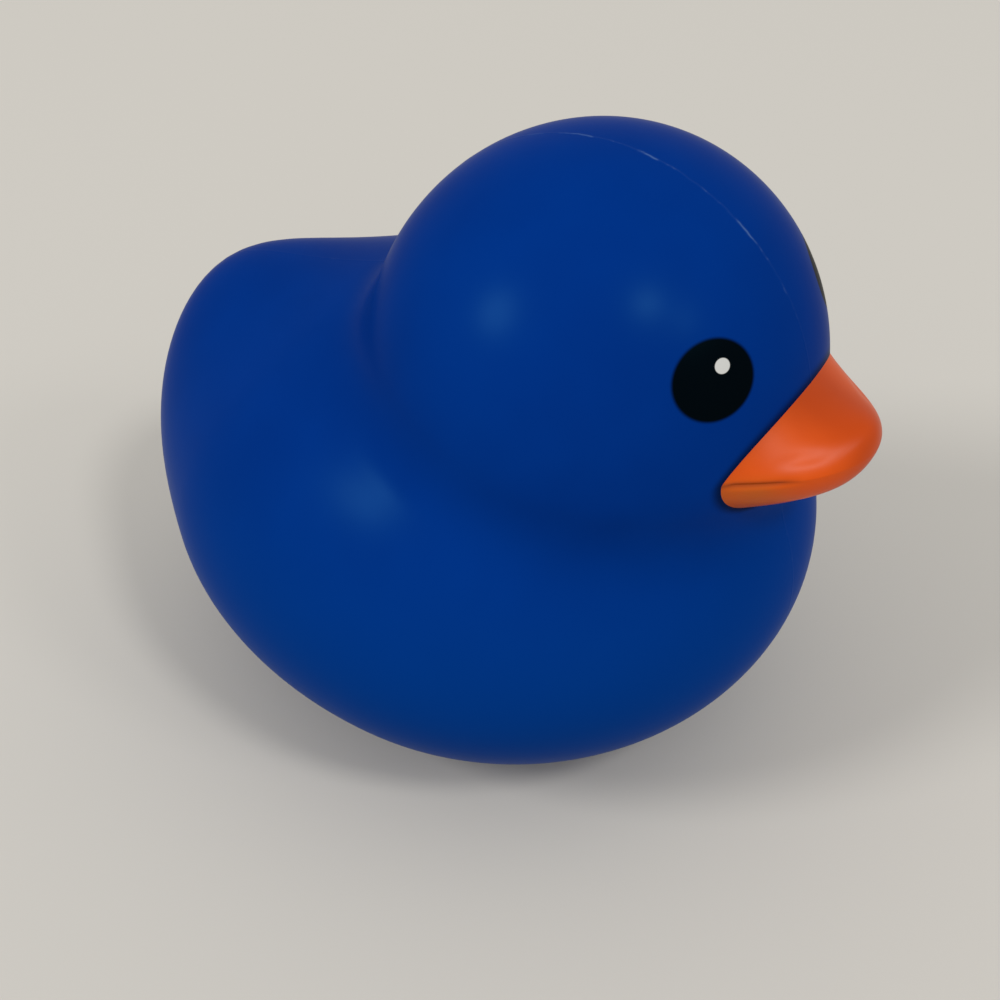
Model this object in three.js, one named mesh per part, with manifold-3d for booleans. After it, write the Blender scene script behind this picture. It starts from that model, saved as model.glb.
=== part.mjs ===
// A bath duck: one hollow moulding of soft vinyl, with head, body, tail and bill in a single skin that is
// open only at the vent hole in its flat base. Millimetres, +Z up, the bill points to -Y, the base lies on
// Z = 0, and the duck's length and width are centred on the origin.
import * as THREE from "three";
import { mergeVertices } from "three/addons/utils/BufferGeometryUtils.js";
import Module from "manifold-3d";

const wasm = await Module();
wasm.setup();

// Body: an egg, longer to the tail than to the chest, with its underside cut flat
const bodyHalfWidth = 40.0;
const bodyChest = 40.7;
const bodyRump = 48.1;
const bodyCrown = 32.2;
const bodyWaistHeight = 28.4;
const baseCut = 2.4;

// Tail: an upright egg, leaning back a little, that lifts the rump to a blunt end
const tailInset = 8.8;
const tailRise = 4.2;
const tailHalfWidth = 11.2;
const tailHalfLength = 9.7;
const tailHalfHeight = 16.9;
const tailLean = THREE.MathUtils.degToRad(8.5);
const tailBlend = 18.7;

// Head: nearly a ball, a little flatter below, set forward on the body with a close neck crease
const headForward = 12.0;
const headRise = 25.8;
const headHalfWidth = 28.8;
const headHalfLength = 27.5;
const headCrown = 28.0;
const headJowl = 24.0;
const neckBlend = 4.7;

// Bill: a nearly level rim, a parabola in plan, with a steep bridge above it and a rounded jaw below. The
// powers set how fast bridge and jaw fall away to the tip, how hollow the bridge's flanks are, and how blunt
// the tip is.
const billInset = 7.5;
const billReach = 8.14;
const rimDrop = 0.7;
const rimLift = 0.4;
const rimHalfWidth = 16.85;
const bridgeHeight = 15.2;
const bridgeTip = 3.4;
const bridgeFallPower = 2.9;
const bridgeFlankPower = 1.63;
const jawDepth = 7.35;
const jawTip = 2.1;
const jawFallPower = 0.56;
const rimLiftPower = 3;
const tipBluntPower = 14;

// Mouth: a fine groove along the rim from each corner of the bill, running out before the tip
const mouthDepth = 0.4;
const mouthHalfWidth = 0.4;
const mouthStop = 4.5;
const mouthFade = 3.0;

// Moulding: the vinyl's thickness, and the vent hole in the base, behind the middle
const wall = 2.0;
const ventDiameter = 4.0;
const ventBehind = 9.0;

// Facets: how finely each surface is divided, and how often a distance is halved to find it
const skinDetail = 15;
const cavityDetail = 8;
const billSlices = 64;
const billRows = 28;
const billRowCrowding = 0.2;
const billRootShare = 0.1;
const ventSides = 24;
const halvings = 32;

// Finish: satin blue vinyl
const vinylColour = 0x07327f;
const vinylRoughness = 0.42;

// Places that follow from the sizes above
const bodyCentre = new THREE.Vector3(0, 0, bodyWaistHeight);
const tailCentre = new THREE.Vector3(0, bodyRump - tailInset, bodyWaistHeight + tailRise);
const headCentre = new THREE.Vector3(0, -headForward, bodyWaistHeight + headRise);
const heart = new THREE.Vector3().addVectors(bodyCentre, headCentre).multiplyScalar(0.5);
const faceFront = headCentre.y - headHalfLength;
const billRoot = faceFront + billInset;
const billTip = faceFront - billReach;
const rimLevel = headCentre.z - rimDrop;
const reach = 2 * (bodyRump + tailHalfLength + headRise + headCrown);

// An egg's half sizes, each along its own way out from the centre
function halfSizes(side, front, back, above, below) {
  return { side, front, back, above, below };
}
const bodyHalves = halfSizes(bodyHalfWidth, bodyChest, bodyRump, bodyCrown, bodyWaistHeight + baseCut);
const tailHalves = halfSizes(tailHalfWidth, tailHalfLength, tailHalfLength, tailHalfHeight, tailHalfHeight);
const headHalves = halfSizes(headHalfWidth, headHalfLength, headHalfLength, headCrown, headJowl);

// Distance from a point to an egg, near enough close to its surface and below zero inside it. The egg's
// half sizes differ from front to back and from top to bottom, and its front is tilted up by the angle.
const axisX = new THREE.Vector3(1, 0, 0);
const offset = new THREE.Vector3();
function egg(point, centre, halves, tilt = 0) {
  offset.subVectors(point, centre).applyAxisAngle(axisX, tilt);
  const alongX = halves.side;
  const alongY = offset.y < 0 ? halves.front : halves.back;
  const alongZ = offset.z < 0 ? halves.below : halves.above;
  const scaled = Math.hypot(offset.x / alongX, offset.y / alongY, offset.z / alongZ);
  const slope = Math.hypot(offset.x / alongX ** 2, offset.y / alongY ** 2, offset.z / alongZ ** 2);
  return slope > 0 ? (scaled * (scaled - 1)) / slope : -Math.min(alongX, alongY, alongZ);
}

// Joins two forms with a fillet of the given width along the crease between them
function blended(first, second, width) {
  const share = Math.max(width - Math.abs(first - second), 0) / width;
  return Math.min(first, second) - (share * share * width) / 4;
}

// Head, body and tail as one blended form
function duckForm(point) {
  const body = egg(point, bodyCentre, bodyHalves);
  const tail = egg(point, tailCentre, tailHalves, tailLean);
  const head = egg(point, headCentre, headHalves);
  return blended(blended(body, tail, tailBlend), head, neckBlend);
}

// A closed geometry with its shared points merged, so that only positions are left
function merged(geometry) {
  geometry.deleteAttribute("normal");
  geometry.deleteAttribute("uv");
  return mergeVertices(geometry);
}

function solid(geometry) {
  const vertProperties = new Float32Array(geometry.attributes.position.array);
  const triVerts = new Uint32Array(geometry.index.array);
  return new wasm.Manifold(new wasm.Mesh({ numProp: 3, vertProperties, triVerts }));
}

// Pushes every point of a unit ball out from the centre until it meets the surface of the form
function grown(ball, centre, form) {
  const position = ball.attributes.position;
  const direction = new THREE.Vector3();
  const point = new THREE.Vector3();
  for (let index = 0; index < position.count; index += 1) {
    direction.fromBufferAttribute(position, index).normalize();
    let inner = 0;
    let outer = reach;
    for (let step = 0; step < halvings; step += 1) {
      const middle = (inner + outer) / 2;
      point.copy(centre).addScaledVector(direction, middle);
      if (form(point) < 0) {
        inner = middle;
      } else {
        outer = middle;
      }
    }
    point.copy(centre).addScaledVector(direction, inner);
    position.setXYZ(index, point.x, point.y, point.z);
  }
  return solid(ball);
}

// The duck's form shrunk by an inset and cut flat at a level: the outer skin, or the cavity inside it
function flatBottomed(inset, level, detail) {
  const ball = merged(new THREE.IcosahedronGeometry(1, detail));
  const whole = grown(ball, heart, (point) => duckForm(point) + inset);
  const below = new THREE.BoxGeometry(reach, reach, reach).translate(0, 0, level - reach / 2);
  return whole.subtract(solid(merged(below)));
}

// The bill's sides at a point of its length, where back runs from 0 at the tip to 1 at the root
function billSection(back) {
  const ahead = 1 - back;
  const blunt = Math.sqrt(1 - ahead ** tipBluntPower);
  return {
    y: THREE.MathUtils.lerp(billTip, billRoot, back),
    rim: rimLevel + rimLift * ahead ** rimLiftPower,
    halfWidth: rimHalfWidth * Math.sqrt(back),
    above: blunt * (bridgeTip + bridgeHeight * back ** bridgeFallPower),
    below: blunt * (jawTip + jawDepth * back ** jawFallPower),
  };
}

// The mouth groove's depth at a distance from the tip and a height off the rim
function mouthGroove(fromTip, offRim) {
  const along = THREE.MathUtils.clamp((fromTip - mouthStop) / mouthFade, 0, 1);
  const across = Math.max(1 - Math.abs(offRim) / mouthHalfWidth, 0);
  return mouthDepth * along * across;
}

// The bill as a ball drawn out: its front pole becomes the tip, its rings become sections of the bill, and
// the last rings close the root inside the head. Its rows are crowded along the rim, where the groove runs.
function bill() {
  const ball = merged(new THREE.SphereGeometry(1, billSlices, billRows));
  const position = ball.attributes.position;
  const place = new THREE.Vector3();
  for (let index = 0; index < position.count; index += 1) {
    place.fromBufferAttribute(position, index);
    const along = Math.acos(THREE.MathUtils.clamp(-place.y, -1, 1)) / Math.PI;
    const section = billSection(Math.min(along / (1 - billRootShare), 1) ** 2);
    const closing = Math.min((1 - along) / billRootShare, 1);
    const height = Math.atan2(place.z, Math.abs(place.x)) / (Math.PI / 2);
    const turn = (height * (billRowCrowding + (1 - billRowCrowding) * Math.abs(height)) * Math.PI) / 2;
    const flank = Math.abs(Math.sin(turn)) ** bridgeFlankPower;
    const offRim = turn > 0 ? section.above * flank : section.below * Math.sin(turn);
    const halfWidth = section.halfWidth - mouthGroove(section.y - billTip, offRim);
    const x = Math.sign(place.x) * halfWidth * Math.cos(turn) * closing;
    position.setXYZ(index, x, section.y, section.rim + offRim * closing);
  }
  return solid(ball);
}

// The vent hole, run up to the level of the waist so that it always opens into the cavity
function vent() {
  const height = 2 * bodyWaistHeight;
  const hole = new THREE.CylinderGeometry(ventDiameter / 2, ventDiameter / 2, height, ventSides);
  hole.rotateX(Math.PI / 2).translate(0, ventBehind, 0);
  return solid(merged(hole));
}

// The whole moulding, moved so that its length is centred on the origin
function duckGeometry() {
  const skin = flatBottomed(0, 0, skinDetail).add(bill());
  const cavity = flatBottomed(wall, wall, cavityDetail);
  const mesh = skin.subtract(cavity).subtract(vent()).getMesh();
  const geometry = new THREE.BufferGeometry();
  geometry.setAttribute("position", new THREE.BufferAttribute(mesh.vertProperties, mesh.numProp));
  geometry.setIndex(new THREE.BufferAttribute(mesh.triVerts, 1));
  geometry.computeBoundingBox();
  geometry.translate(0, -geometry.boundingBox.getCenter(new THREE.Vector3()).y, 0);
  geometry.computeVertexNormals();
  return geometry;
}

const vinyl = new THREE.MeshStandardMaterial({ color: vinylColour, roughness: vinylRoughness, metalness: 0 });
const moulding = new THREE.Mesh(duckGeometry(), vinyl);
moulding.name = "duck";

const duck = new THREE.Group();
duck.name = "bath_duck";
duck.add(moulding);

export default duck;
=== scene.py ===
import math

import bpy
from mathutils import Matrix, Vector


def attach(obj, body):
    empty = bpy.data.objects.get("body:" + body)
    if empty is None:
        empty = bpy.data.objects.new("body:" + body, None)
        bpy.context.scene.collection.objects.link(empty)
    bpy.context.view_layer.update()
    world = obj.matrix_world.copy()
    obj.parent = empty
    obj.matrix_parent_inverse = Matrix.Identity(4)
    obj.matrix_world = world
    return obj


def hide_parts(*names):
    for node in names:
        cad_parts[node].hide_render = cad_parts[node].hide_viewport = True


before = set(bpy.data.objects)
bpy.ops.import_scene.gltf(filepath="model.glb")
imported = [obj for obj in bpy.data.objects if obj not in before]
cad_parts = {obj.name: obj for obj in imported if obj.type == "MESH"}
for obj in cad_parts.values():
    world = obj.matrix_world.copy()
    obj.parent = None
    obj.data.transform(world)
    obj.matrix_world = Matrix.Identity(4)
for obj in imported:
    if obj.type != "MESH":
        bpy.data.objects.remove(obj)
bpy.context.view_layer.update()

# The skin of head, body and tail: soft blue vinyl, cast in one with the bill in a mould of two halves that
# met on the middle plane and left a fine raised line there. Three eggs run into each other, with a close
# crease at the neck and a broad fillet at the tail, and the underside is flat.
MM = 0.001
# places and half lengths in millimetres, tilts in degrees
SKIN_EGGS = {
    "Body": {
        "Centre": (0, -2.73, 28.4),
        "Width": 40.0,
        "Front": 40.7,
        "Back": 48.1,
        "Above": 32.2,
        "Below": 30.8,
        "Tilt": 0,
    },
    "Tail": {
        "Centre": (0, 36.57, 32.6),
        "Width": 11.2,
        "Front": 9.7,
        "Back": 9.7,
        "Above": 16.9,
        "Below": 16.9,
        "Tilt": 8.5,
    },
    "Head": {
        "Centre": (0, -14.73, 54.2),
        "Width": 28.8,
        "Front": 27.5,
        "Back": 27.5,
        "Above": 28.0,
        "Below": 24.0,
        "Tilt": 0,
    },
}
SKIN_SIZES = {
    "Heart": (0, -8.73, 41.3),
    "Start ball radius": 60.0,
    "Tail fillet": 18.7,
    "Neck fillet": 4.7,
    "Base fillet": 3.0,
    "Parting half width": 0.16,
    "Parting height": 0.016,
    "Parting foot": 3.0,
    "Parting full": 6.0,
}
SKIN_SEGMENTS = 320
SKIN_RINGS = 200
SKIN_STEPS = 60
MIDDLE_ROW_SPACING = 0.12
POLE_GUARD = 1e-6


def node(tree, kind, **settings):
    made = tree.nodes.new(kind)
    for name, value in settings.items():
        setattr(made, name, value)
    return made


def feed(tree, socket, value):
    if isinstance(value, bpy.types.NodeSocket):
        tree.links.new(value, socket)
    else:
        socket.default_value = value


def maths(tree, operation, *values):
    made = node(tree, "ShaderNodeMath", operation=operation)
    for socket, value in zip(made.inputs, values):
        feed(tree, socket, value)
    return made.outputs[0]


def vectors(tree, operation, *values):
    made = node(tree, "ShaderNodeVectorMath", operation=operation)
    sockets = [made.inputs[0], made.inputs["Scale"]] if operation == "SCALE" else made.inputs
    for socket, value in zip(sockets, values):
        feed(tree, socket, value)
    return made.outputs["Value" if operation in ("LENGTH", "DOT_PRODUCT") else "Vector"]


def parts(tree, vector):
    made = node(tree, "ShaderNodeSeparateXYZ")
    feed(tree, made.inputs[0], vector)
    return made.outputs


def vector_of(tree, x, y, z):
    made = node(tree, "ShaderNodeCombineXYZ")
    for socket, value in zip(made.inputs, (x, y, z)):
        feed(tree, socket, value)
    return made.outputs[0]


def between(tree, share, least, most):
    return maths(tree, "MULTIPLY_ADD", share, most - least, least)


def ramp(tree, value, start, end):
    made = node(tree, "ShaderNodeMapRange", interpolation_type="SMOOTHSTEP")
    for title, given in (("Value", value), ("From Min", start), ("From Max", end)):
        feed(tree, made.inputs[title], given)
    return made.outputs[0]


def bell(tree, value, half_width):
    off = maths(tree, "DIVIDE", value, half_width)
    return maths(tree, "EXPONENT", maths(tree, "MULTIPLY", maths(tree, "MULTIPLY", off, off), -1))


def either(tree, test, when_true, when_false):
    made = node(tree, "GeometryNodeSwitch", input_type="FLOAT")
    for title, given in (("Switch", test), ("True", when_true), ("False", when_false)):
        feed(tree, made.inputs[title], given)
    return made.outputs[0]


def socket_kind(value):
    if isinstance(value, str):
        return value
    return "NodeSocketVector" if isinstance(value, tuple) else "NodeSocketFloat"


def group(name, inputs, output):
    tree = bpy.data.node_groups.new(name, "GeometryNodeTree")
    for title, value in inputs.items():
        tree.interface.new_socket(title, in_out="INPUT", socket_type=socket_kind(value))
    tree.interface.new_socket(output[0], in_out="OUTPUT", socket_type=output[1])
    return tree, node(tree, "NodeGroupInput").outputs, node(tree, "NodeGroupOutput").inputs[0]


def egg_distance():
    # from a point to the egg's surface, near enough close to it and below zero inside
    inputs = {"Point": (0, 0, 0), **SKIN_EGGS["Body"]}
    tree, given, result = group("Egg distance", inputs, ("Distance", "NodeSocketFloat"))
    turned = node(tree, "ShaderNodeVectorRotate", rotation_type="X_AXIS")
    feed(tree, turned.inputs["Vector"], vectors(tree, "SUBTRACT", given["Point"], given["Centre"]))
    feed(tree, turned.inputs["Angle"], given["Tilt"])
    offset = parts(tree, turned.outputs[0])
    long = either(tree, maths(tree, "LESS_THAN", offset[1], 0), given["Front"], given["Back"])
    tall = either(tree, maths(tree, "LESS_THAN", offset[2], 0), given["Below"], given["Above"])
    halves = vector_of(tree, given["Width"], long, tall)
    scaled = vectors(tree, "DIVIDE", turned.outputs[0], halves)
    size = vectors(tree, "LENGTH", scaled)
    slope = vectors(tree, "LENGTH", vectors(tree, "DIVIDE", scaled, halves))
    inside = maths(tree, "MULTIPLY", size, maths(tree, "SUBTRACT", size, 1))
    feed(tree, result, maths(tree, "DIVIDE", inside, slope))
    return tree


def fillet_join():
    # the nearer of two forms, filled out by up to a quarter of the width where they cross
    inputs = {"First": 0, "Second": 0, "Width": 1}
    tree, given, result = group("Fillet join", inputs, ("Distance", "NodeSocketFloat"))
    gap = maths(tree, "ABSOLUTE", maths(tree, "SUBTRACT", given["First"], given["Second"]))
    share = maths(tree, "MAXIMUM", maths(tree, "SUBTRACT", given["Width"], gap), 0)
    filled = maths(tree, "DIVIDE", maths(tree, "MULTIPLY", share, share), given["Width"])
    least = maths(tree, "MINIMUM", given["First"], given["Second"])
    feed(tree, result, maths(tree, "SUBTRACT", least, maths(tree, "MULTIPLY", filled, 0.25)))
    return tree


EGG_DISTANCE = egg_distance()
FILLET_JOIN = fillet_join()


def egg(tree, given, name, point):
    made = node(tree, "GeometryNodeGroup", node_tree=EGG_DISTANCE)
    feed(tree, made.inputs["Point"], point)
    for size in SKIN_EGGS[name]:
        feed(tree, made.inputs[size], given[f"{name} {size}"])
    return made.outputs[0]


def fillet(tree, first, second, width):
    made = node(tree, "GeometryNodeGroup", node_tree=FILLET_JOIN)
    for socket, value in zip(made.inputs, (first, second, width)):
        feed(tree, socket, value)
    return made.outputs[0]


def skin_distance(tree, given, point):
    body = egg(tree, given, "Body", point)
    rump = fillet(tree, body, egg(tree, given, "Tail", point), given["Tail fillet"])
    whole = fillet(tree, rump, egg(tree, given, "Head", point), given["Neck fillet"])
    inside = maths(tree, "MULTIPLY", whole, -1)
    flat = fillet(tree, inside, parts(tree, point)[2], given["Base fillet"])
    return maths(tree, "MULTIPLY", flat, -1)


def position(tree):
    return node(tree, "GeometryNodeInputPosition").outputs[0]


def set_place(tree, mesh, place=None, offset=None):
    made = node(tree, "GeometryNodeSetPosition")
    feed(tree, made.inputs["Geometry"], mesh)
    if place is not None:
        feed(tree, made.inputs["Position"], place)
    if offset is not None:
        feed(tree, made.inputs["Offset"], offset)
    return made.outputs[0]


def ball(tree, segments, rings):
    made = node(tree, "GeometryNodeMeshUVSphere")
    made.inputs["Segments"].default_value = segments
    made.inputs["Rings"].default_value = rings
    return made.outputs["Mesh"]


def off_axis(tree, height):
    # how far a point of the ball lies from the line through its poles
    square = maths(tree, "SUBTRACT", 1, maths(tree, "MULTIPLY", height, height))
    return maths(tree, "MAXIMUM", maths(tree, "SQRT", square), POLE_GUARD)


def parting_ball(tree, given):
    # a ball about the heart with its poles to the sides and its rows crowded along the middle plane
    place = parts(tree, position(tree))
    height = maths(tree, "DIVIDE", maths(tree, "ARCSINE", place[2]), math.pi / 2)
    spread = between(tree, maths(tree, "ABSOLUTE", height), MIDDLE_ROW_SPACING, 1)
    rise = maths(tree, "MULTIPLY", maths(tree, "MULTIPLY", height, spread), math.pi / 2)
    ratio = maths(tree, "DIVIDE", maths(tree, "COSINE", rise), off_axis(tree, place[2]))
    x = maths(tree, "SINE", rise)
    y = maths(tree, "MULTIPLY", place[1], ratio)
    z = maths(tree, "MULTIPLY", maths(tree, "MULTIPLY", place[0], ratio), -1)
    out = vectors(tree, "SCALE", vector_of(tree, x, y, z), given["Start ball radius"])
    start = vectors(tree, "ADD", given["Heart"], out)
    return set_place(tree, ball(tree, SKIN_SEGMENTS, SKIN_RINGS), start)


def skin_mesh(tree, given):
    # the ball shrinks onto the three eggs step by step, and then the parting line is raised on it
    start = node(tree, "GeometryNodeRepeatInput")
    end = node(tree, "GeometryNodeRepeatOutput")
    start.pair_with_output(end)
    start.inputs["Iterations"].default_value = SKIN_STEPS
    feed(tree, start.inputs["Geometry"], parting_ball(tree, given))
    point = position(tree)
    inward = vectors(tree, "NORMALIZE", vectors(tree, "SUBTRACT", given["Heart"], point))
    step = vectors(tree, "SCALE", inward, skin_distance(tree, given, point))
    feed(tree, end.inputs["Geometry"], set_place(tree, start.outputs["Geometry"], offset=step))

    place = parts(tree, position(tree))
    across = bell(tree, place[0], given["Parting half width"])
    bead = maths(tree, "MULTIPLY", across, given["Parting height"])
    above_base = ramp(tree, place[2], given["Parting foot"], given["Parting full"])
    bead = maths(tree, "MULTIPLY", bead, above_base)
    outward = node(tree, "GeometryNodeInputNormal").outputs[0]
    return set_place(tree, end.outputs["Geometry"], offset=vectors(tree, "SCALE", outward, bead))


def srgb(red, green, blue):
    levels = [level / 255 for level in (red, green, blue)]
    curved = [level / 12.92 if level <= 0.04045 else ((level + 0.055) / 1.055) ** 2.4 for level in levels]
    return (*curved, 1)


VINYL_ROUGHNESS = 0.29
VINYL_GLOSS = 0.004
VINYL_SHEEN_COLOUR = (2.2, 10.5, 16, 1)
VINYL_DEEP = srgb(0, 43, 121)
VINYL_PALE = srgb(0, 47, 128)
VINYL_PAINTED_LOW_LIGHT = srgb(0, 53, 131)
# painted light: heights over which the blue is lightened towards the base, in place of light from below
PAINTED_LOW_LIGHT_HEIGHTS = (52 * MM, 22 * MM)
# a grain is its scale per metre and its detail
MOTTLE_GRAIN = (45, 3)
MOTTLE_RANGE = (0.3, 0.7)
WEAR_COLOUR = srgb(92, 124, 170)
WEAR_HALF_WIDTH = 0.15 * MM
WEAR_WANDER = 0.3 * MM
WANDER_GRAIN = (500, 2)
FLECK_GRAIN = (420, 4)
FLECK_RANGE = (0.5, 0.64)
FLECK_LEAST = 0.04
FLECK_MOST = 0.5
CROWN_HEIGHTS = (68 * MM, 76 * MM)
CROWN_LENGTHS = (0, -20 * MM)
WEAR_OFF_CROWN = 0.12
# painted shade in the crease round the bill's root: its colour, reach and strength
PAINTED_CREASE_SHADE = srgb(3, 12, 44)
CREASE_SHADE_REACH = (0.05 * MM, 0.8 * MM)
CREASE_SHADE_STRENGTH = 0.85


def mixed(tree, share, first, second):
    made = node(tree, "ShaderNodeMix", data_type="RGBA")
    feed(tree, made.inputs["Factor"], share)
    feed(tree, made.inputs["A"], first)
    feed(tree, made.inputs["B"], second)
    return made.outputs["Result"]


def noise(tree, point, scale, detail):
    made = node(tree, "ShaderNodeTexNoise")
    feed(tree, made.inputs["Vector"], point)
    made.inputs["Scale"].default_value = scale
    made.inputs["Detail"].default_value = detail
    return made.outputs["Fac"]


def vinyl_mottle_and_painted_low_light(tree, point, place):
    mottle = ramp(tree, noise(tree, point, *MOTTLE_GRAIN), *MOTTLE_RANGE)
    colour = mixed(tree, mottle, VINYL_DEEP, VINYL_PALE)
    # random mottle, then painted light: the blue is lightened towards the base, in place of light from
    # below
    return mixed(tree, ramp(tree, place[2], *PAINTED_LOW_LIGHT_HEIGHTS), colour, VINYL_PAINTED_LOW_LIGHT)


def parting_wear(tree, point, place, colour):
    # pale flecks along the raised line, strongest on the crown of the head
    wander = between(tree, noise(tree, point, *WANDER_GRAIN), -WEAR_WANDER, WEAR_WANDER)
    line = bell(tree, maths(tree, "ADD", place[0], wander), WEAR_HALF_WIDTH)
    flecks = ramp(tree, noise(tree, point, *FLECK_GRAIN), *FLECK_RANGE)
    patchy = between(tree, flecks, FLECK_LEAST, FLECK_MOST)
    high = ramp(tree, place[2], *CROWN_HEIGHTS)
    crown = maths(tree, "MULTIPLY", high, ramp(tree, place[1], *CROWN_LENGTHS))
    worn = between(tree, crown, WEAR_OFF_CROWN, 1)
    line = maths(tree, "MULTIPLY", maths(tree, "MULTIPLY", line, patchy), worn)
    return mixed(tree, line, colour, WEAR_COLOUR)


def painted_bill_crease_shade(tree, colour):
    # painted shade: the vinyl is darkened in the crease where it meets the bill
    gap = node(tree, "ShaderNodeAttribute", attribute_name="bill_gap").outputs["Fac"]
    crease_shade = maths(tree, "SUBTRACT", 1, ramp(tree, gap, *CREASE_SHADE_REACH))
    return mixed(tree, maths(tree, "MULTIPLY", crease_shade, CREASE_SHADE_STRENGTH), colour, PAINTED_CREASE_SHADE)


# The eyes: black paint sprayed on the vinyl through a mask, so each spot has a soft edge. A small round
# white glint is printed on each. The left eye was sprayed a little lower and further out than the right.
# Places and half widths are in millimetres, with X counted outwards from the middle plane on both sides.
EYE_CENTRE = (13.86, -35.93, 65.91)
EYE_OUT = (0.474, -0.774, 0.421)
EYE_ACROSS = (-0.853, -0.522, 0.0)
EYE_UP = (-0.22, 0.359, 0.907)
EYE_HALVES = (5.1, 4.4)
EYE_THICKNESS = 5.0
EYE_EDGE = (0.95, 1.06)
EYE_BLACK = srgb(1, 1, 2)
LEFT_EYE_LOWER = 0.5
LEFT_EYE_OUTWARD = 0.4
GLINT_PLACE = (1.15, 1.29)
GLINT_HALVES = (0.95, 0.83)
GLINT_EDGE = (0.94, 1.06)
GLINT_WHITE = srgb(206, 206, 202)


def spot(tree, across, up, place, halves):
    # how far out a point lies in a round spot: 0 in its middle and 1 on its edge
    x = maths(tree, "DIVIDE", maths(tree, "SUBTRACT", across, place[0] * MM), halves[0] * MM)
    y = maths(tree, "DIVIDE", maths(tree, "SUBTRACT", up, place[1] * MM), halves[1] * MM)
    return vectors(tree, "LENGTH", vector_of(tree, x, y, 0))


def sprayed_eyes(tree, place, colour):
    side = vector_of(tree, maths(tree, "ABSOLUTE", place[0]), place[1], place[2])
    offset = vectors(tree, "SUBTRACT", side, tuple(part * MM for part in EYE_CENTRE))
    out = maths(tree, "ABSOLUTE", vectors(tree, "DOT_PRODUCT", offset, EYE_OUT))
    near = maths(tree, "LESS_THAN", out, EYE_THICKNESS * MM)
    left = maths(tree, "GREATER_THAN", place[0], 0)
    across = vectors(tree, "DOT_PRODUCT", offset, EYE_ACROSS)
    across = maths(tree, "MULTIPLY_ADD", left, LEFT_EYE_OUTWARD * MM, across)
    up = vectors(tree, "DOT_PRODUCT", offset, EYE_UP)
    up = maths(tree, "MULTIPLY_ADD", left, LEFT_EYE_LOWER * MM, up)
    eye_edge = ramp(tree, spot(tree, across, up, (0, 0), EYE_HALVES), *EYE_EDGE)
    spray = maths(tree, "MULTIPLY", maths(tree, "SUBTRACT", 1, eye_edge), near)
    colour = mixed(tree, spray, colour, EYE_BLACK)

    # both glints lie towards the duck's left, as if lit from there
    mirror = maths(tree, "MULTIPLY", maths(tree, "SIGN", place[0]), -1)
    leftward = maths(tree, "MULTIPLY", across, mirror)
    glint_edge = ramp(tree, spot(tree, leftward, up, GLINT_PLACE, GLINT_HALVES), *GLINT_EDGE)
    glint = maths(tree, "MULTIPLY", maths(tree, "SUBTRACT", 1, glint_edge), near)
    return mixed(tree, glint, colour, GLINT_WHITE)


def satin(name, roughness, gloss):
    material = bpy.data.materials.new(name)
    material.use_nodes = True
    shader = material.node_tree.nodes["Principled BSDF"].inputs
    shader["Roughness"].default_value = roughness
    shader["Specular IOR Level"].default_value = gloss
    return material, material.node_tree, shader


def blue_vinyl():
    material, tree, shader = satin("blue_vinyl", VINYL_ROUGHNESS, VINYL_GLOSS)
    shader["Specular Tint"].default_value = VINYL_SHEEN_COLOUR
    point = node(tree, "ShaderNodeTexCoord").outputs["Object"]
    place = parts(tree, point)
    colour = vinyl_mottle_and_painted_low_light(tree, point, place)
    colour = parting_wear(tree, point, place, colour)
    colour = painted_bill_crease_shade(tree, colour)
    feed(tree, shader["Base Color"], sprayed_eyes(tree, place, colour))
    return material


# The bill: vinyl cast with the head and sprayed orange. Its level rim is a parabola in plan, with a steep
# bridge above it and a rounded jaw below. The mouth is a fine groove along the rim, running out before the
# tip, and a shallow dip above it sets off a rolled lip.
BILL_SIZES = {
    "Bill root": -34.73,
    "Bill tip": -50.37,
    "Rim level": 53.5,
    "Rim lift": 0.4,
    "Rim half width": 16.85,
    "Bridge height": 15.2,
    "Bridge height at tip": 3.4,
    "Jaw depth": 7.35,
    "Jaw depth at tip": 2.1,
    "Mouth half width": 0.34,
    "Mouth depth": 0.4,
    "Mouth start": -45.87,
    "Mouth full": -42.87,
    "Mouth corner": 0.8,
    "Dip rise": 1.95,
    "Dip half width": 0.6,
    "Dip depth": 0.11,
    "Dip start": -41.8,
    "Dip full": -44.3,
    "Dip fade": -45.4,
    "Dip end": -48.4,
}
BILL_SEGMENTS = 240
BILL_RINGS = 150
BRIDGE_FALL = 2.9
BRIDGE_HOLLOW = 1.63
JAW_FALL = 0.56
RIM_LIFT_POWER = 3
TIP_SQUARENESS = 14
ROOT_CAP = 0.1
PAINT_ROUGHNESS = 0.3
PAINT_GLOSS = 0.005
PAINT_COAT = 0.36
PAINT_COAT_ROUGHNESS = 0.34
PAINT_GRAIN = (260, 4)
PAINT_DEEP = srgb(206, 74, 0)
PAINT_PALE = srgb(220, 84, 8)
# painted shade: the orange is darkened along the top of the bridge
PAINTED_RIDGE_SHADE = srgb(190, 66, 0)
RIDGE_SHADE_HALF_WIDTHS = (8 * MM, 2 * MM)
THIN_COLOUR = srgb(186, 90, 20)
THIN_LENGTHS = (-47.0 * MM, -40.0 * MM)
THIN_RISES = (1.6 * MM, -1.2 * MM)
THIN_LEAST = 0.35
# painted shade down in the mouth groove: its colour, width, lengths and strength
GROOVE_SHADE_COLOUR = srgb(104, 40, 8)
GROOVE_SHADE_HALF_WIDTH = 0.3 * MM
GROOVE_SHADE_LENGTHS = (-46.5 * MM, -43.0 * MM)
GROOVE_SHADE_STRENGTH = 0.5


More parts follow.
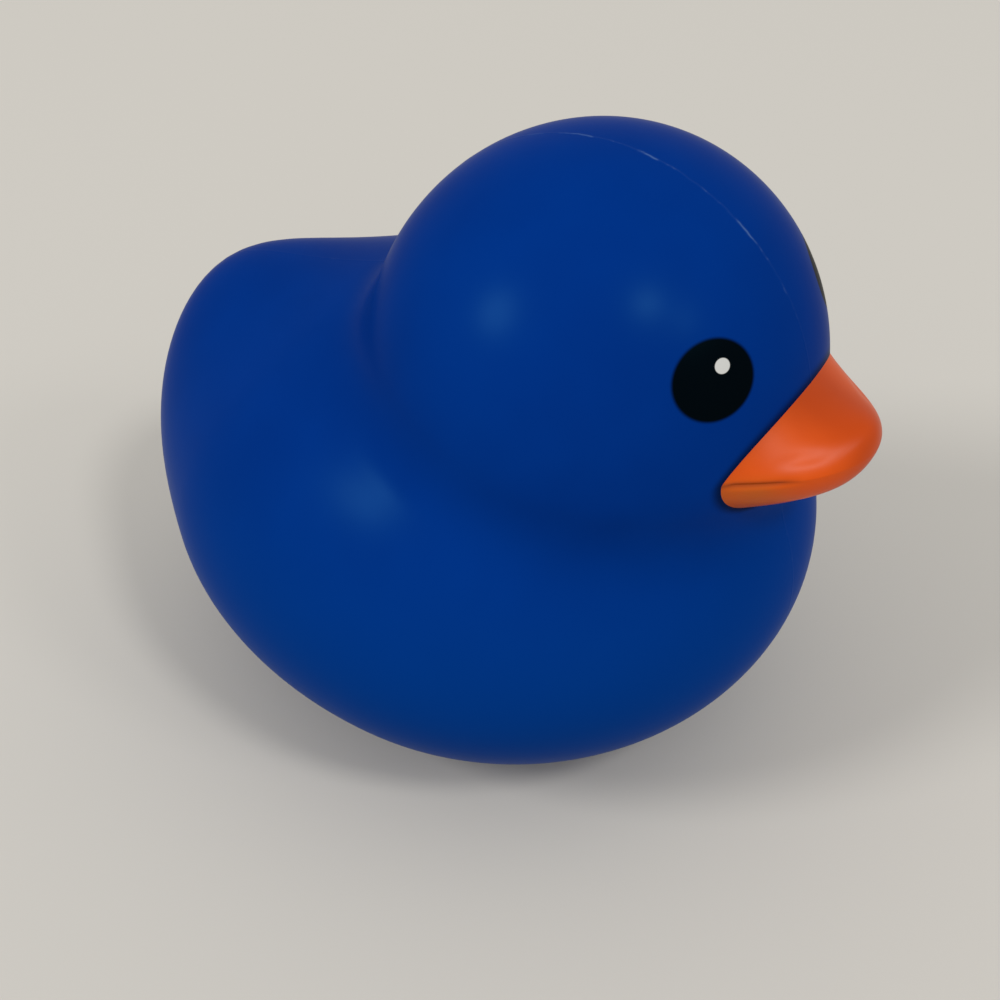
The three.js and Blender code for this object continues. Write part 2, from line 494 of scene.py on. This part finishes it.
def plain_bill(tree, given):
    # one pole of the ball becomes the tip and the other the middle of the root, inside the head
    place = parts(tree, position(tree))
    flat = off_axis(tree, place[2])
    across = maths(tree, "DIVIDE", place[0], flat)
    upward = maths(tree, "DIVIDE", maths(tree, "MULTIPLY", place[1], -1), flat)
    turn = maths(tree, "ARCCOSINE", maths(tree, "MULTIPLY", place[2], -1))
    from_tip = maths(tree, "DIVIDE", turn, math.pi)
    from_root = maths(tree, "SUBTRACT", 1, from_tip)
    spread = maths(tree, "MINIMUM", maths(tree, "DIVIDE", from_tip, 1 - ROOT_CAP), 1)
    closing = maths(tree, "MINIMUM", maths(tree, "DIVIDE", from_root, ROOT_CAP), 1)
    back = maths(tree, "MULTIPLY", spread, spread)
    ahead = maths(tree, "SUBTRACT", 1, back)

    blunt = maths(tree, "POWER", ahead, TIP_SQUARENESS)
    tip_cap = maths(tree, "SQRT", maths(tree, "SUBTRACT", 1, blunt))
    bridge = maths(tree, "MULTIPLY", given["Bridge height"], maths(tree, "POWER", back, BRIDGE_FALL))
    bridge = maths(tree, "ADD", bridge, given["Bridge height at tip"])
    jaw = maths(tree, "MULTIPLY", given["Jaw depth"], maths(tree, "POWER", back, JAW_FALL))
    jaw = maths(tree, "ADD", jaw, given["Jaw depth at tip"])
    arch = maths(tree, "POWER", maths(tree, "ABSOLUTE", upward), BRIDGE_HOLLOW)
    over_rim = maths(tree, "MULTIPLY", bridge, arch)
    under_rim = maths(tree, "MULTIPLY", jaw, upward)
    tall = either(tree, maths(tree, "GREATER_THAN", upward, 0), over_rim, under_rim)
    tall = maths(tree, "MULTIPLY", maths(tree, "MULTIPLY", tall, tip_cap), closing)
    wide = maths(tree, "MULTIPLY", maths(tree, "MULTIPLY", given["Rim half width"], spread), closing)
    lifted = maths(tree, "POWER", ahead, RIM_LIFT_POWER)
    rim = maths(tree, "MULTIPLY_ADD", given["Rim lift"], lifted, given["Rim level"])
    reach = maths(tree, "SUBTRACT", given["Bill root"], given["Bill tip"])
    x = maths(tree, "MULTIPLY", wide, across)
    y = maths(tree, "MULTIPLY_ADD", reach, back, given["Bill tip"])
    z = maths(tree, "ADD", rim, tall)
    return set_place(tree, ball(tree, BILL_SEGMENTS, BILL_RINGS), vector_of(tree, x, y, z))


def bill_mesh(tree, given):
    # the mouth and the dip are pressed into the plain bill
    plain = plain_bill(tree, given)
    place = parts(tree, position(tree))
    rise = maths(tree, "SUBTRACT", place[2], given["Rim level"])
    mouth = maths(tree, "MULTIPLY", bell(tree, rise, given["Mouth half width"]), given["Mouth depth"])
    along = ramp(tree, place[1], given["Mouth start"], given["Mouth full"])
    mouth = maths(tree, "MULTIPLY", mouth, along)
    from_face = skin_distance(tree, given, position(tree))
    mouth = maths(tree, "MULTIPLY", mouth, ramp(tree, from_face, 0, given["Mouth corner"]))
    dip = bell(tree, maths(tree, "SUBTRACT", rise, given["Dip rise"]), given["Dip half width"])
    dip = maths(tree, "MULTIPLY", dip, given["Dip depth"])
    dip = maths(tree, "MULTIPLY", dip, ramp(tree, place[1], given["Dip start"], given["Dip full"]))
    dip = maths(tree, "MULTIPLY", dip, ramp(tree, place[1], given["Dip end"], given["Dip fade"]))
    pressed = maths(tree, "MULTIPLY", maths(tree, "ADD", mouth, dip), -1)
    outward = node(tree, "GeometryNodeInputNormal").outputs[0]
    return set_place(tree, plain, offset=vectors(tree, "SCALE", outward, pressed))


def orange_paint():
    material, tree, shader = satin("orange_bill_paint", PAINT_ROUGHNESS, PAINT_GLOSS)
    shader["Coat Weight"].default_value = PAINT_COAT
    shader["Coat Roughness"].default_value = PAINT_COAT_ROUGHNESS
    point = node(tree, "ShaderNodeTexCoord").outputs["Object"]
    place = parts(tree, point)
    rise = maths(tree, "SUBTRACT", place[2], BILL_SIZES["Rim level"] * MM)
    grain = noise(tree, point, *PAINT_GRAIN)
    colour = mixed(tree, grain, PAINT_DEEP, PAINT_PALE)
    # painted shade: the orange is darker along the top of the bridge
    ridge_shade = ramp(tree, maths(tree, "ABSOLUTE", place[0]), *RIDGE_SHADE_HALF_WIDTHS)
    colour = mixed(tree, ridge_shade, colour, PAINTED_RIDGE_SHADE)

    # the paint is thin and brownish at the corners of the mouth and along the lower lip
    low = ramp(tree, rise, *THIN_RISES)
    low = maths(tree, "MULTIPLY", low, ramp(tree, place[1], *THIN_LENGTHS))
    thin = maths(tree, "MULTIPLY", low, maths(tree, "ADD", grain, THIN_LEAST))
    colour = mixed(tree, thin, colour, THIN_COLOUR)
    # painted shade: darker brown down in the mouth groove
    groove_shade = bell(tree, rise, GROOVE_SHADE_HALF_WIDTH)
    groove_shade = maths(tree, "MULTIPLY", groove_shade, ramp(tree, place[1], *GROOVE_SHADE_LENGTHS))
    colour = mixed(tree, maths(tree, "MULTIPLY", groove_shade, GROOVE_SHADE_STRENGTH), colour, GROOVE_SHADE_COLOUR)
    feed(tree, shader["Base Color"], colour)
    return material


# The casting: skin and bill in one piece of soft vinyl, as it comes out of the mould. A small round vent
# hole goes through the flat base and lets the air in and out when the duck is squeezed.
VENT_SIZES = {
    "Vent place": (0, 6.27, 0),
    "Vent radius": 2.0,
    "Vent depth": 8.0,
}
VENT_SIDES = 48
CREASE_ANGLE = math.radians(30)


def metres(size, value):
    if size == "Tilt":
        return math.radians(value)
    return tuple(part * MM for part in value) if isinstance(value, tuple) else value * MM


casting_sizes = {}
for egg_name, egg_sizes in SKIN_EGGS.items():
    for size, value in egg_sizes.items():
        casting_sizes[f"{egg_name} {size}"] = metres(size, value)
for size, value in {**SKIN_SIZES, **BILL_SIZES, **VENT_SIZES}.items():
    casting_sizes[size] = metres(size, value)


def joined(tree, operation, first, second):
    made = node(tree, "GeometryNodeMeshBoolean", operation=operation, solver="MANIFOLD")
    feed(tree, made.inputs["Mesh 1" if operation == "DIFFERENCE" else "Mesh 2"], first)
    feed(tree, made.inputs["Mesh 2"], second)
    return made.outputs["Mesh"]


def vent_bore(tree, given):
    hole = node(tree, "GeometryNodeMeshCylinder")
    hole.inputs["Vertices"].default_value = VENT_SIDES
    feed(tree, hole.inputs["Radius"], given["Vent radius"])
    feed(tree, hole.inputs["Depth"], maths(tree, "MULTIPLY", given["Vent depth"], 2))
    return set_place(tree, hole.outputs["Mesh"], offset=given["Vent place"])


def shaded(tree, mesh):
    # smooth all over, but for the sharp edges at the bill's root and at the vent
    smooth = node(tree, "GeometryNodeSetShadeSmooth", domain="FACE")
    feed(tree, smooth.inputs["Geometry"], mesh)
    angle = node(tree, "GeometryNodeInputMeshEdgeAngle").outputs["Unsigned Angle"]
    crease = node(tree, "GeometryNodeSetShadeSmooth", domain="EDGE")
    feed(tree, crease.inputs["Geometry"], smooth.outputs[0])
    feed(tree, crease.inputs["Selection"], maths(tree, "GREATER_THAN", angle, CREASE_ANGLE))
    crease.inputs["Shade Smooth"].default_value = False
    return crease.outputs[0]


def finished(tree, mesh, material, selection=None):
    made = node(tree, "GeometryNodeSetMaterial")
    feed(tree, made.inputs["Geometry"], mesh)
    made.inputs["Material"].default_value = material
    if selection is not None:
        feed(tree, made.inputs["Selection"], selection)
    return made.outputs[0]


def casting(vinyl, paint):
    inputs = {"Geometry": "NodeSocketGeometry", **casting_sizes}
    tree, given, result = group("Duck casting", inputs, ("Geometry", "NodeSocketGeometry"))
    bill = node(tree, "GeometryNodeStoreNamedAttribute", data_type="BOOLEAN", domain="FACE")
    bill.inputs["Name"].default_value = "bill_face"
    bill.inputs["Value"].default_value = True
    feed(tree, bill.inputs["Geometry"], bill_mesh(tree, given))
    whole = joined(tree, "UNION", skin_mesh(tree, given), bill.outputs[0])
    whole = joined(tree, "DIFFERENCE", whole, vent_bore(tree, given))

    nearest = node(tree, "GeometryNodeProximity", target_element="FACES")
    feed(tree, nearest.inputs[0], bill.outputs[0])
    gap = node(tree, "GeometryNodeStoreNamedAttribute", data_type="FLOAT", domain="POINT")
    gap.inputs["Name"].default_value = "bill_gap"
    feed(tree, gap.inputs["Geometry"], whole)
    feed(tree, gap.inputs["Value"], nearest.outputs["Distance"])

    real = node(tree, "GeometryNodeRealizeInstances")
    feed(tree, real.inputs[0], shaded(tree, gap.outputs[0]))
    painted = node(tree, "GeometryNodeInputNamedAttribute", data_type="BOOLEAN")
    painted.inputs["Name"].default_value = "bill_face"
    blue = finished(tree, real.outputs[0], vinyl)
    feed(tree, result, finished(tree, blue, paint, painted.outputs[0]))
    return tree


def put_in_scene(name, data):
    made = bpy.data.objects.new(name, data)
    bpy.context.scene.collection.objects.link(made)
    return made


def cast(name, tree, sizes):
    made = put_in_scene(name, bpy.data.meshes.new(name))
    form = made.modifiers.new("Form", "NODES")
    form.node_group = tree
    for item in tree.interface.items_tree:
        if item.in_out == "INPUT" and item.name in sizes:
            form[item.identifier] = sizes[item.name]
    graph = bpy.context.evaluated_depsgraph_get()
    mesh = bpy.data.meshes.new_from_object(made.evaluated_get(graph), depsgraph=graph)
    made.modifiers.remove(form)
    made.data = mesh
    # the first material slot is an empty one, before the vinyl and the paint
    mesh.materials.pop(index=0)
    return made


duck = cast("duck_casting", casting(blue_vinyl(), orange_paint()), casting_sizes)
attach(duck, "root")
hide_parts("duck")

# The stage: a wide round floor, pale and matt, with the duck standing on its middle. Its edge lies so far
# off on all sides that no corner of it shows.
FLOOR_RADIUS = 3.0
FLOOR_SIDES = 96
FLOOR_ROUGHNESS = 0.8
FLOOR_GLOSS = 0
FLOOR_COLOUR = srgb(204, 200, 192)
floor_mesh = bpy.data.meshes.new("floor")
turns = [math.tau * side / FLOOR_SIDES for side in range(FLOOR_SIDES)]
rim = [(FLOOR_RADIUS * math.cos(turn), FLOOR_RADIUS * math.sin(turn), 0) for turn in turns]
floor_mesh.from_pydata(rim, [], [tuple(range(FLOOR_SIDES))])
floor = put_in_scene("floor", floor_mesh)
floor_finish, _, floor_shader = satin("pale_floor", FLOOR_ROUGHNESS, FLOOR_GLOSS)
floor_shader["Base Color"].default_value = FLOOR_COLOUR
floor_mesh.materials.append(floor_finish)

# The light: an even white room, and three soft round lamps far off. One stands high over the duck's right
# side, one over its face, and a weaker one lower in front of it.
ROOM_COLOUR = (1, 1, 1, 1)
ROOM_STRENGTH = 0.63
LAMP_AIM = Vector((0, 0, 0.045))
LAMP_DISTANCE = 4
# direction from the duck, width in metres and power in watts
LAMPS = {
    "side_lamp": ((-0.64, 0.46, 0.62), 1.2, 52),
    "front_lamp": ((-0.20, -0.58, 0.79), 0.7, 35),
    "low_lamp": ((-0.04, -0.79, 0.61), 0.8, 13),
}
world = bpy.data.worlds.new("room")
bpy.context.scene.world = world
world.use_nodes = True
room = world.node_tree.nodes["Background"].inputs
room["Color"].default_value = ROOM_COLOUR
room["Strength"].default_value = ROOM_STRENGTH


def point_along(made, direction):
    made.rotation_mode = "QUATERNION"
    made.rotation_quaternion = direction.to_track_quat("-Z", "Y")


for lamp_name, (direction, width, power) in LAMPS.items():
    lamp = bpy.data.lights.new(lamp_name, "AREA")
    lamp.shape = "DISK"
    lamp.size = width
    lamp.energy = power
    light = put_in_scene(lamp_name, lamp)
    light.location = LAMP_AIM + Vector(direction).normalized() * LAMP_DISTANCE
    point_along(light, -Vector(direction))

# The camera: close to the duck's right side and a little in front of it, looking down on the head and the
# back, with everything in focus.
CAMERA_PLACE = (-0.13646, -0.08462, 0.15351)
CAMERA_DIRECTION = Vector((0.6674, 0.4083, -0.6228))
CAMERA_LENS = 54
CAMERA_SENSOR = 36
CAMERA_CLIP = 0.01
camera_data = bpy.data.cameras.new("camera")
camera_data.sensor_width = CAMERA_SENSOR
camera_data.lens = CAMERA_LENS
camera_data.clip_start = CAMERA_CLIP
camera = put_in_scene("camera", camera_data)
camera.location = CAMERA_PLACE
point_along(camera, CAMERA_DIRECTION)
bpy.context.scene.camera = camera
bpy.context.scene.view_settings.view_transform = "Standard"
